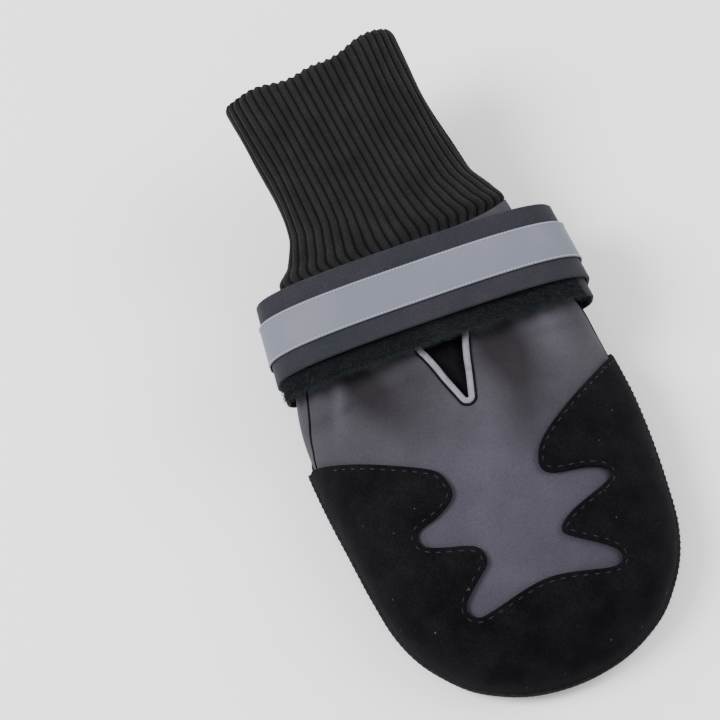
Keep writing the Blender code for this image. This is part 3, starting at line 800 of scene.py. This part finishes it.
def webbing_finish():
    """Charcoal webbing: a tight mottled weave with a bluish cast in places."""
    made, shader, add = nodes_of("charcoal_webbing", 0.85, 0.06, (0.8, 0.8, 0.9), 0.1)
    uv = add("UVMap").outputs["UV"]
    spot = add("TexCoord").outputs["Object"]
    twill = bands(add, "DIAGONAL", uv, 520.0, 5.0, Detail=2.0, Detail_Scale=3.0)
    cloudy = noise(add, 70, 3, spot)
    grain = noise(add, 1600, 2, spot)
    base = ramp(add, cloudy, (0.35, (0.0165, 0.0190, 0.0230)), (0.65, (0.0235, 0.0215, 0.0285)))
    shade = ramp(add, twill, (0.0, grey(0.72)), (0.6, grey(1.12)))
    flecks = ramp(add, grain, (0.3, grey(0.8)), (0.7, grey(1.2)))
    colour = blend(add, 0.4, base, shade)
    paint(shader, blend(add, 0.7, colour, flecks))
    bump(add, shader, twill, 0.3, 0.0002)
    return made


def tape_finish():
    """Silver-grey tape of fine glass beads over cloth."""
    made, shader, add = nodes_of("silver_tape", 0.6, 0.0, (1, 1, 1), 0.15)
    uv = add("UVMap").outputs["UV"]
    spot = add("TexCoord").outputs["Object"]
    beads = noise(add, 3200, 1, spot)
    cloudy = noise(add, 55, 2, spot)
    base = ramp(add, cloudy, (0.3, (0.112, 0.124, 0.158)), (0.7, (0.138, 0.141, 0.176)))
    shade = ramp(add, beads, (0.3, grey(0.9)), (0.7, grey(1.08)))
    paint(shader, blend(add, 0.6, base, shade))
    weave = bands(add, "DIAGONAL", uv, 500.0, 0.4)
    first = bump(add, shader, weave, 0.12, 0.0001)
    bump(add, shader, beads, 0.2, 0.0001, first)
    return made


def plain_cloth(name, dark, light, roughness, scale, sheen=0.1, depth=0.0003):
    made, shader, add = nodes_of(name, roughness, sheen, (0.8, 0.8, 0.85), 0.08)
    spot = add("TexCoord").outputs["Object"]
    fibre = noise(add, scale, 3, spot, 0.65)
    paint(shader, ramp(add, fibre, (0.3, dark), (0.7, light)))
    bump(add, shader, fibre, 0.5, depth)
    return made


def piping_finish():
    made, shader, add = nodes_of("grey_piping", 0.6, 0.15, (1, 1, 1), 0.3)
    uv = add("UVMap").outputs["UV"]
    spot = add("TexCoord").outputs["Object"]
    twill = bands(add, "DIAGONAL", uv, 700.0, 0.8, Detail=1.0)
    cloudy = noise(add, 400, 3, spot)
    base = ramp(add, cloudy, (0.3, (0.120, 0.113, 0.140)), (0.7, (0.200, 0.192, 0.228)))
    shade = ramp(add, twill, (0.1, (0.8, 0.8, 0.82)), (0.6, grey(1.05)))
    paint(shader, blend(add, 0.6, base, shade))
    bump(add, shader, twill, 0.25, 0.0002)
    return made


def dress_upper(finish):
    places = np.concatenate((np.linspace(0.3, 2, 12)[:-1], np.linspace(2, COLLAR_PLACE, 132)))
    upper = pocket("upper_cloth", places, 176, 0.0, -UPPER_WALL, finish)
    floor = SEAM_HEIGHT + GAP / 2
    notch = throat_outline(PIPING_RADIUS * 0.75, SHAFT_LENGTH + FAR)
    carve(upper, [
        make_box("cut_floor", (-FAR, -FAR, -FAR), (FAR, SOLE_END + GAP, floor)),
        make_prism("cut_throat", notch, shaft_points, 0, FAR),
    ])
    return mark_creases(raise_collar(upper))


def dress_overlay(finish):
    places = np.concatenate((np.linspace(0.12, 2, 16)[:-1], np.linspace(2, HEEL_PLACE, 110)))
    overlay = pocket("toe_overlay_suede", places, 184, OVERLAY_OUTER, GAP, finish)
    edge = [tuple(point) for point in cutout_edge(16)]
    behind = [(-FAR, edge[-1][1]), (-FAR, FAR), (FAR, FAR), (FAR, edge[0][1])]
    outline = list(reversed(edge + behind))
    carve(overlay, [
        make_box("cut_seam", (-FAR, -FAR, -FAR), (FAR, FAR, SEAM_HEIGHT + GAP / 2)),
        make_prism("cut_star", outline, in_place, 0, FAR),
    ])
    return overlay


def dress_sole(finish):
    places = np.concatenate((np.linspace(0.12, 2, 16)[:-1], np.linspace(2, HEEL_PLACE + 1, 60)))
    sole = pocket("outsole_leather", places, 176, OVERLAY_OUTER, SOLE_INNER, finish)
    carve(sole, [
        make_box("cut_above", (-FAR, -FAR, SEAM_HEIGHT - GAP / 2), (FAR, FAR, FAR)),
        make_box("cut_behind", (-FAR, SOLE_END, -FAR), (FAR, FAR, FAR)),
    ])
    return sole


def even_angles(half, depth, full, shares):
    """Angles on a rounded outline, for shares of its length."""
    turn = np.linspace(0, 2 * math.pi, 2881)
    across, height = superellipse(turn, full)
    run = run_along(np.stack((half * across, depth * height), -1))
    return np.interp(np.asarray(shares) * run[-1], run, turn)


def cuff_state(along):
    """Shift, half width, half depth and fullness of the cuff at a distance from the heel."""
    tuck_half = COLLAR_WIDTH / 2 - UPPER_WALL - 2 * GAP
    tuck_depth = COLLAR_DEPTH / 2 - UPPER_WALL - 2 * GAP
    rows = [(-CUFF_TUCK / CUFF_LENGTH, tuck_half, tuck_depth, COLLAR_SHIFT),
            (0.0, tuck_half, tuck_depth, COLLAR_SHIFT)]
    for share, width, depth, shift in CUFF_SECTIONS:
        rows.append((share, width * CUFF_WIDTH / 2, depth * CUFF_DEPTH / 2,
                     COLLAR_SHIFT + shift * (CUFF_SHIFT - COLLAR_SHIFT)))
    rows = np.array(rows)
    share = (along - SHAFT_LENGTH) / CUFF_LENGTH
    place = np.interp(share, rows[:, 0], np.arange(len(rows)))
    row = rows_at(rows, np.array([place]))[0]
    full = SHAFT_FULLNESS + min(max(share / CUFF_FULL_FROM, 0), 1) * (CUFF_FULLNESS - SHAFT_FULLNESS)
    return row[3], row[1], row[2], full


def rib_profile(phase):
    """Height of the knit at a phase of one rib: a round rib and a narrow groove."""
    across = np.abs(phase - 0.5) * 2
    return -RIB_HEIGHT * np.clip(across / 0.92, 0, 1) ** 2.2


def cuff_surface(alongs, shares, inward, ribbed):
    """Rings of the knit. A twist keeps its ribs straight where the tube swings aside."""
    rings = []
    for along in alongs:
        shift, half, depth, full = cuff_state(along)
        top = max(0.0, (along - SHAFT_LENGTH) / CUFF_LENGTH)
        straight = CUFF_SHIFT * (1.36 * top - 0.26)
        twist = (shift - straight) / CUFF_ROUND
        angles = even_angles(half, depth, full, np.mod(shares + twist, 1))
        slack = CUFF_SLACK * np.sin(shares * 2 * math.pi * 7 + along * 210)
        out = (rib_profile(np.mod(shares * RIB_COUNT, 1)) if ribbed else 0.0) + slack - inward
        out = out - CUFF_TURN_DROP * max(0.0, (top - 1 + CUFF_TURN) / CUFF_TURN) ** 2
        across, up = superellipse(angles, full)
        across = (half + out) * across
        side = across / half
        step = np.clip((side - CUFF_RISE_FROM) / CUFF_RISE_SPAN, 0, 1)
        rise = CUFF_RISE * step * step * (3 - 2 * step) + CUFF_EDGE_WAVE * np.sin(side * 9 + 1)
        rise = rise + CUFF_RIB_WAVE * np.sin(shares * 2 * math.pi * RIB_COUNT)
        rings.append(shaft_points(shift + across, along + rise * top ** 3, (depth + out) * up))
    return np.concatenate(rings)


def dress_cuff(finish):
    """The ribbed tube, with round ribs and a soft turned top."""
    steps = RIB_COUNT * 8
    shares = np.arange(steps) / steps
    start, end = SHAFT_LENGTH - CUFF_TUCK, SHAFT_LENGTH + CUFF_LENGTH
    alongs = np.concatenate((np.linspace(start, end - 0.004, 84), np.linspace(end - 0.0035, end, 10)))
    outer = cuff_surface(alongs, shares, 0.0, True)
    inner = cuff_surface(alongs[::-1], shares, CUFF_WALL - 0.0004, False)
    rows = 2 * len(alongs)
    points = np.concatenate((outer, inner))
    faces = grid_faces(rows, steps)
    first = (rows - 1) * steps
    faces += [
        (step, (step + 1) % steps, first + (step + 1) % steps, first + step)
        for step in range(steps)
    ]
    u = np.tile(shares * RIB_COUNT, rows)
    v = np.repeat(np.concatenate((alongs, alongs[::-1])), steps)
    return make_mesh("rib_cuff_knit", points, faces, finish, np.stack((u, v), -1), sharp=0)


def shaft_depths(along):
    rows = SECTIONS[HEEL_PLACE + 1:]
    spans = (rows[:, :3] - SHAFT_BASE) @ SHAFT_ALONG
    place = np.interp(along, spans, np.arange(len(rows)))
    row = rows_at(SECTIONS, np.array([place + HEEL_PLACE + 1]))[0]
    return row[5], row[6]


STRAP_LOW = shaft_depths(STRAP_START)
STRAP_HIGH = shaft_depths(STRAP_START + STRAP_WIDTH)


def strap_points(angles, along_share, layer, room):
    half = STRAP_HALF_LOW + along_share * (STRAP_HALF_HIGH - STRAP_HALF_LOW) + layer
    around = STRAP_CLEARANCE + layer
    rise, sink = (
        low + along_share * (high - low) + around for low, high in zip(STRAP_LOW, STRAP_HIGH)
    )
    across, height = superellipse(angles, STRAP_FULLNESS)
    across = half * across
    height = np.where(height >= 0, rise + room, sink) * height
    along = STRAP_START + along_share * STRAP_WIDTH + height * math.tan(STRAP_LEAN)
    along = along - across * math.tan(STRAP_SLANT)
    return shaft_points(STRAP_SHIFT + across, along, height)


def strap_angles(shares):
    """Angles on the strap's ring, for shares of its length."""
    return even_angles(STRAP_HALF_LOW, (STRAP_LOW[0] + STRAP_LOW[1]) / 2, STRAP_FULLNESS, shares)


def dress_band(name, lead, width, inner, outer, finish, room=0.0, arc=None, steps=260):
    """A band of the strap with rounded long edges."""
    start, end = -lead / STRAP_WIDTH, (width - lead) / STRAP_WIDTH
    soft = min((outer - inner) / 2, BAND_EDGE) / STRAP_WIDTH
    across = np.linspace(start, end, 17)
    turns = [(soft * math.sin(turn * math.pi), inner + (outer - inner) * turn) for turn in (0.25, 0.75)]
    profile = [(share, inner) for share in across]
    profile += [(end + out, layer) for out, layer in turns]
    profile += [(share, outer) for share in across[::-1]]
    profile += [(start - out, layer) for out, layer in reversed(turns)]
    if arc is None:
        shares = np.arange(steps) / steps
    else:
        shares = np.linspace(arc[0], arc[1], int(steps * (arc[1] - arc[0])) + 1)
    angles = strap_angles(np.mod(shares, 1))
    points = np.stack([strap_points(angles, *edge, room) for edge in profile], 1)
    count = len(profile)
    rings = len(shares)
    faces = []
    for ring in range(rings if arc is None else rings - 1):
        after = (ring + 1) % rings
        for step in range(count):
            other = (step + 1) % count
            faces.append((ring * count + step, after * count + step,
                          after * count + other, ring * count + other))
    if arc is not None:
        faces.append(tuple(range(count)))
        faces.append(tuple(reversed(range((rings - 1) * count, rings * count))))
    around = shares * 2 * math.pi * 0.036
    u = np.repeat(around, count)
    v = np.tile([edge[0] * STRAP_WIDTH for edge in profile], rings)
    return make_mesh(name, points.reshape(-1, 3), faces, finish, np.stack((u, v), -1))


def add_tube(name, route, radius, finish, sides=14):
    """A round cord along points, its faces turned outwards."""
    ahead = unit(np.gradient(route, axis=0))
    aside = unit(np.cross(ahead, SHAFT_UP))
    over = np.cross(aside, ahead)
    turn = 2 * math.pi * np.arange(sides) / sides
    ring = aside[:, None] * np.cos(turn)[None, :, None] + over[:, None] * np.sin(turn)[None, :, None]
    points = route[:, None] + ring * radius
    faces = grid_faces(len(route), sides)
    last = (len(route) - 1) * sides
    faces.append(tuple(range(sides)))
    faces.append(tuple(reversed(range(last, last + sides))))
    u = np.repeat(run_along(route), sides)
    v = np.tile(turn * radius, len(route))
    return make_mesh(name, points.reshape(-1, 3), faces, finish, np.stack((u, v), -1))


def throat_route(margin, offset):
    """Points round the notch, from the cuff's tucked edge to the tip and back."""
    edge = [point for point in throat_line(margin, 5) if point[1] < SHAFT_LENGTH - CUFF_TUCK]
    route = [(-x, y) for x, y in reversed(edge[1:])] + [tuple(point) for point in edge]
    points, _ = seek_skin([(x + throat_shift(y), y) for x, y in route], offset, in_shaft)
    return points


def dress_piping(finish):
    return add_tube("throat_piping_cord", throat_route(0.0, -PIPING_DEPTH), PIPING_RADIUS, finish)


def dress_piping_edge(finish):
    """A thin dark cord just outside the piping."""
    route = throat_route(PIPING_RADIUS * 0.98, 0.00005)
    return add_tube("throat_dark_outline", route, SEAM_RADIUS, finish, 8)


def dress_gusset(finish):
    """The stretch patch behind the notch, with soft upright folds."""
    right = [p for p in throat_line(GUSSET_MARGIN, 4) if p[1] < SHAFT_LENGTH - CUFF_TUCK - GAP]
    columns = 25
    shares = np.linspace(-1, 1, columns)
    targets = [
        (share * max(x, 0.0006) + throat_shift(y), y) for x, y in right for share in shares
    ]
    front, away = seek_skin(targets, -UPPER_WALL - GAP, in_shaft)
    fold = [GUSSET_FOLD * math.sin(share * 9) * min(1, x / 0.008) for x, _ in right for share in shares]
    front = front + away * np.array(fold)[:, None]
    points = np.concatenate((front, front - away * GUSSET_THICKNESS))
    rows = len(right)
    back = rows * columns
    faces = grid_faces(rows, columns, closed=False, flip=True)
    faces += grid_faces(rows, columns, closed=False, start=back)
    rim = [row * columns for row in range(rows)]
    rim += [(rows - 1) * columns + step for step in range(1, columns)]
    rim += [row * columns + columns - 1 for row in range(rows - 2, -1, -1)]
    rim += list(range(columns - 2, 0, -1))
    for step in range(len(rim)):
        here, after = rim[step], rim[(step + 1) % len(rim)]
        faces.append((here, after, back + after, back + here))
    return make_mesh("throat_gusset_cloth", points, faces, finish)


def add_stitches(name, spots, normals, finish, pitch, length, radius):
    """Short raised threads along a line of spots on a surface."""
    run = run_along(spots)
    points, faces = [], []
    sides, rings = 6, 5
    for index in range(int(run[-1] / pitch)):
        middle = (index + 0.5) * pitch
        ends = [middle - length / 2, middle + length / 2]
        where = [np.array([np.interp(at, run, spots[:, k]) for k in range(3)]) for at in ends]
        up = np.array([np.interp(middle, run, normals[:, k]) for k in range(3)])
        up /= np.linalg.norm(up)
        ahead = where[1] - where[0]
        reach = np.linalg.norm(ahead)
        if reach < length * 0.6:
            continue
        ahead /= reach
        aside = np.cross(up, ahead)
        start = len(points)
        for ring in range(rings):
            share = ring / (rings - 1)
            arch = math.sin(share * math.pi)
            centre = where[0] + (where[1] - where[0]) * share + up * (arch - 0.45) * radius
            size = radius * (0.45 + 0.55 * arch)
            for step in range(sides):
                angle = 2 * math.pi * step / sides
                points.append(centre + (aside * math.cos(angle) + up * math.sin(angle)) * size)
        faces.append(tuple(start + step for step in range(sides)))
        faces.append(tuple(start + (rings - 1) * sides + step for step in reversed(range(sides))))
        for ring in range(rings - 1):
            low = start + ring * sides
            for step in range(sides):
                after = (step + 1) % sides
                faces.append((low + step, low + sides + step, low + sides + after, low + after))
    return make_mesh(name, points, faces, finish, sharp=0)


def dress_stitches(finish):
    """A row of stitches just outside the cut-out's edge, on the suede."""
    line = beside(cutout_edge(20), -STITCH_INSET)
    keep = np.abs(line[:, 0]) < 0.975 * BALL_WIDTH / 2
    spots, normals = seek_skin(line[keep], OVERLAY_OUTER, in_plan)
    return add_stitches("overlay_stitches", spots, normals, finish, *OVERLAY_STITCH)


def dress_tape_stitches(finish):
    """A fine bright row of stitches along each long edge of the tape."""
    angles = strap_angles(np.linspace(0.0, 0.5, 240))
    layer = STRAP_BASE_THICKNESS + STRAP_THICKNESS + TAPE_THICKNESS + 2 * GAP
    made = []
    for name, inset in (("tape_stitches_low", TAPE_STITCH_INSET),
                        ("tape_stitches_high", TAPE_WIDTH - TAPE_STITCH_INSET)):
        share = (TAPE_MARGIN + inset) / STRAP_WIDTH
        spots = strap_points(angles, share, layer, PILE_ROOM)
        higher = strap_points(angles, share, layer + 0.001, PILE_ROOM)
        made.append(add_stitches(name, spots, higher - spots, finish, *TAPE_STITCH))
    return made


def dress_side_seams(finish):
    """A dark seam down each side of the ankle, from under the strap to the sole."""
    line = smooth_line(SIDE_SEAM, 14)
    lift = np.radians(line[:, 1])
    made = []
    for name, angles in (("side_seam_left", math.pi - lift), ("side_seam_right", lift * SEAM_LOW_SIDE)):
        made.append(add_tube(name, skin(line[:, 0], angles, -SEAM_SINK), SEAM_RADIUS, finish, 8))
    return made


def dress_binding(finish, thread):
    """The sole's stitched edge, a thin cord round the seam."""
    count = 150
    half = np.linspace(0.02, HEEL_PLACE - 0.30, count)
    places = np.concatenate((half[::-1], half[1:]))
    angles = np.concatenate((np.zeros(count), np.full(count - 1, math.pi)))
    route = skin(places, angles, OVERLAY_OUTER)
    route[:, 2] = SEAM_HEIGHT
    away = route - skin(places, angles, 0.0)
    away[:, 2] = SOLE_CORD_LEAN
    away = unit(away)
    cord = add_tube("sole_edge_cord", route, SOLE_CORD_RADIUS, finish, 10)
    outside = route + away * SOLE_CORD_RADIUS
    return cord, add_stitches("sole_edge_stitches", outside, away, thread, *SOLE_STITCH)


def build_pile(finish):
    """Short loose fibres on the strip of pile that shows."""
    points, faces = [], []
    base = STRAP_BASE_THICKNESS + GAP + PILE_THICKNESS
    shares = np.array([random.uniform(*FIBRE_ARC) for _ in range(FIBRE_COUNT)])
    lead = -STRAP_BASE_LEAD / STRAP_WIDTH
    for angle in strap_angles(shares):
        depth = random.random() ** 1.6
        share = lead - 0.02 + depth * 0.34
        root = strap_points(np.array([angle]), share, base - 0.0003, 0.0)[0]
        tip_layer = base + random.uniform(-0.0004, 0.0013)
        turned = angle + random.uniform(-0.03, 0.03)
        ragged = 1 + 0.5 * math.sin(angle * 23) * math.sin(angle * 9 + 1)
        drop = share - random.uniform(-0.03, 0.10) * (1.3 - depth) * ragged
        tip = strap_points(np.array([turned]), drop, tip_layer, 0.0)[0]
        wide = np.array((random.uniform(-1, 1), random.uniform(-1, 1), random.uniform(-0.3, 0.3)))
        wide *= FIBRE_HALF / np.linalg.norm(wide)
        start = len(points)
        points += [root - wide, root + wide, tip]
        faces.append((start, start + 1, start + 2))
    return make_mesh("strap_pile_fibres", points, faces, finish, sharp=0)


def settle(piece, slot, *nodes):
    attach(piece, "root")
    if nodes:
        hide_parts(*nodes)


def make_camera():
    a, e = VIEW_AZIMUTH, VIEW_ELEVATION
    towards = Vector((math.sin(a) * math.cos(e), -math.cos(a) * math.cos(e), math.sin(e)))
    flat_right = Vector((math.cos(a), math.sin(a), 0))
    flat_up = towards.cross(flat_right)
    right = flat_right * math.cos(VIEW_ROLL) + flat_up * math.sin(VIEW_ROLL)
    up = flat_up * math.cos(VIEW_ROLL) - flat_right * math.sin(VIEW_ROLL)
    place = VIEW_MIDDLE + right * VIEW_SIDE + up * VIEW_RISE + towards * VIEW_DISTANCE
    data = bpy.data.cameras.new("camera")
    data.lens = VIEW_LENS
    data.sensor_width = 36
    data.clip_start = 0.01
    made = bpy.data.objects.new("camera", data)
    bpy.context.scene.collection.objects.link(made)
    turn = Matrix((right, up, towards)).transposed().to_4x4()
    made.matrix_world = Matrix.Translation(place) @ turn
    bpy.context.scene.camera = made


def make_light(name, place, size, power):
    data = bpy.data.lights.new(name, "AREA")
    data.shape = "DISK"
    data.size = size
    data.energy = power
    made = bpy.data.objects.new(name, data)
    bpy.context.scene.collection.objects.link(made)
    made.location = place
    made.rotation_euler = (Vector(LIGHT_AIM) - Vector(place)).to_track_quat("-Z", "Y").to_euler()


def make_stage():
    """A pale floor under soft light."""
    floor = make_mesh("floor", [(-3, -3, 0), (3, -3, 0), (3, 3, 0), (-3, 3, 0)], [(0, 1, 2, 3)], sharp=0)
    made, shader, _ = nodes_of("pale_floor", 0.9, 0.0, (1, 1, 1), 0.1)
    shader.inputs["Base Color"].default_value = (0.96, 0.96, 0.963, 1)
    floor.data.materials.append(made)
    world = bpy.data.worlds.new("studio")
    bpy.context.scene.world = world
    world.use_nodes = True
    back = world.node_tree.nodes["Background"]
    back.inputs[0].default_value = (1, 1, 1, 1)
    back.inputs[1].default_value = 1.05
    for light in LIGHTS:
        make_light(*light)


def main():
    make_stage()
    make_camera()
    cloth = cloth_finish()
    suede = suede_finish()
    knit = knit_finish()
    webbing = webbing_finish()
    tape = tape_finish()
    piping = piping_finish()
    stretch = plain_cloth("black_stretch", (0.002, 0.002, 0.003), (0.005, 0.005, 0.006), 0.95, 900, 0.0)
    lining = plain_cloth("black_lining", (0.006, 0.006, 0.007), grey(0.016), 0.95, 1100)
    pile = plain_cloth("black_pile", (0.0015, 0.0020, 0.0026), (0.0070, 0.0085, 0.0100), 1.0, 1400, 0.04)
    fluff = plain_cloth("black_fluff", (0.003, 0.0035, 0.004), (0.032, 0.037, 0.041), 1.0, 2200, 0.0)
    thread = plain_cloth("grey_thread", (0.008, 0.008, 0.011), (0.022, 0.021, 0.027), 0.7, 4000)
    bright = plain_cloth("pale_thread", (0.26, 0.27, 0.31), (0.42, 0.43, 0.48), 0.5, 4000)
    edging = plain_cloth("edge_thread", (0.005, 0.005, 0.006), (0.022, 0.021, 0.024), 0.9, 1300)

    settle(dress_upper(cloth), "grey_softshell", "upper")
    settle(dress_overlay(suede), "black_suede", "toe_overlay")
    settle(dress_sole(suede), "black_suede", "outsole")
    settle(dress_cuff(knit), "black_rib_knit", "rib_cuff")
    settle(dress_piping(piping), "grey_piping", "throat_piping")
    settle(dress_piping_edge(stretch), "black_stretch")
    settle(dress_gusset(stretch), "black_stretch", "throat_gusset")
    settle(dress_stitches(thread), "grey_piping")
    for piece in dress_binding(edging, thread):
        settle(piece, "black_suede")
    for seam in dress_side_seams(stretch):
        settle(seam, "black_stretch")
    for row in dress_tape_stitches(bright):
        settle(row, "silver_tape")

    cover = STRAP_BASE_THICKNESS + GAP
    flap_outer = cover + STRAP_THICKNESS
    edge = flap_outer + GAP
    lead = STRAP_BASE_LEAD
    base = dress_band("strap_base_cloth", lead, STRAP_WIDTH, 0.0, STRAP_BASE_THICKNESS, webbing)
    settle(base, "charcoal_webbing", "strap_base")
    strip = dress_band("strap_pile_strip", lead, STRAP_WIDTH, cover, cover + PILE_THICKNESS,
                       pile, arc=PILE_ARC)
    settle(strip, "black_pile", "strap_pile")
    settle(build_pile(fluff), "black_pile")
    flap = dress_band("strap_webbing", 0.0, STRAP_WIDTH, cover, flap_outer, webbing, room=PILE_ROOM)
    settle(flap, "charcoal_webbing", "strap_flap")
    band = dress_band("reflective_tape_band", -TAPE_MARGIN, TAPE_WIDTH, edge, edge + TAPE_THICKNESS,
                      tape, room=PILE_ROOM, arc=TAPE_ARC)
    settle(band, "silver_tape", "reflective_tape")

    insole = bpy.data.objects.get("insole")
    if insole is not None:
        insole.data.materials.clear()
        insole.data.materials.append(lining)


main()
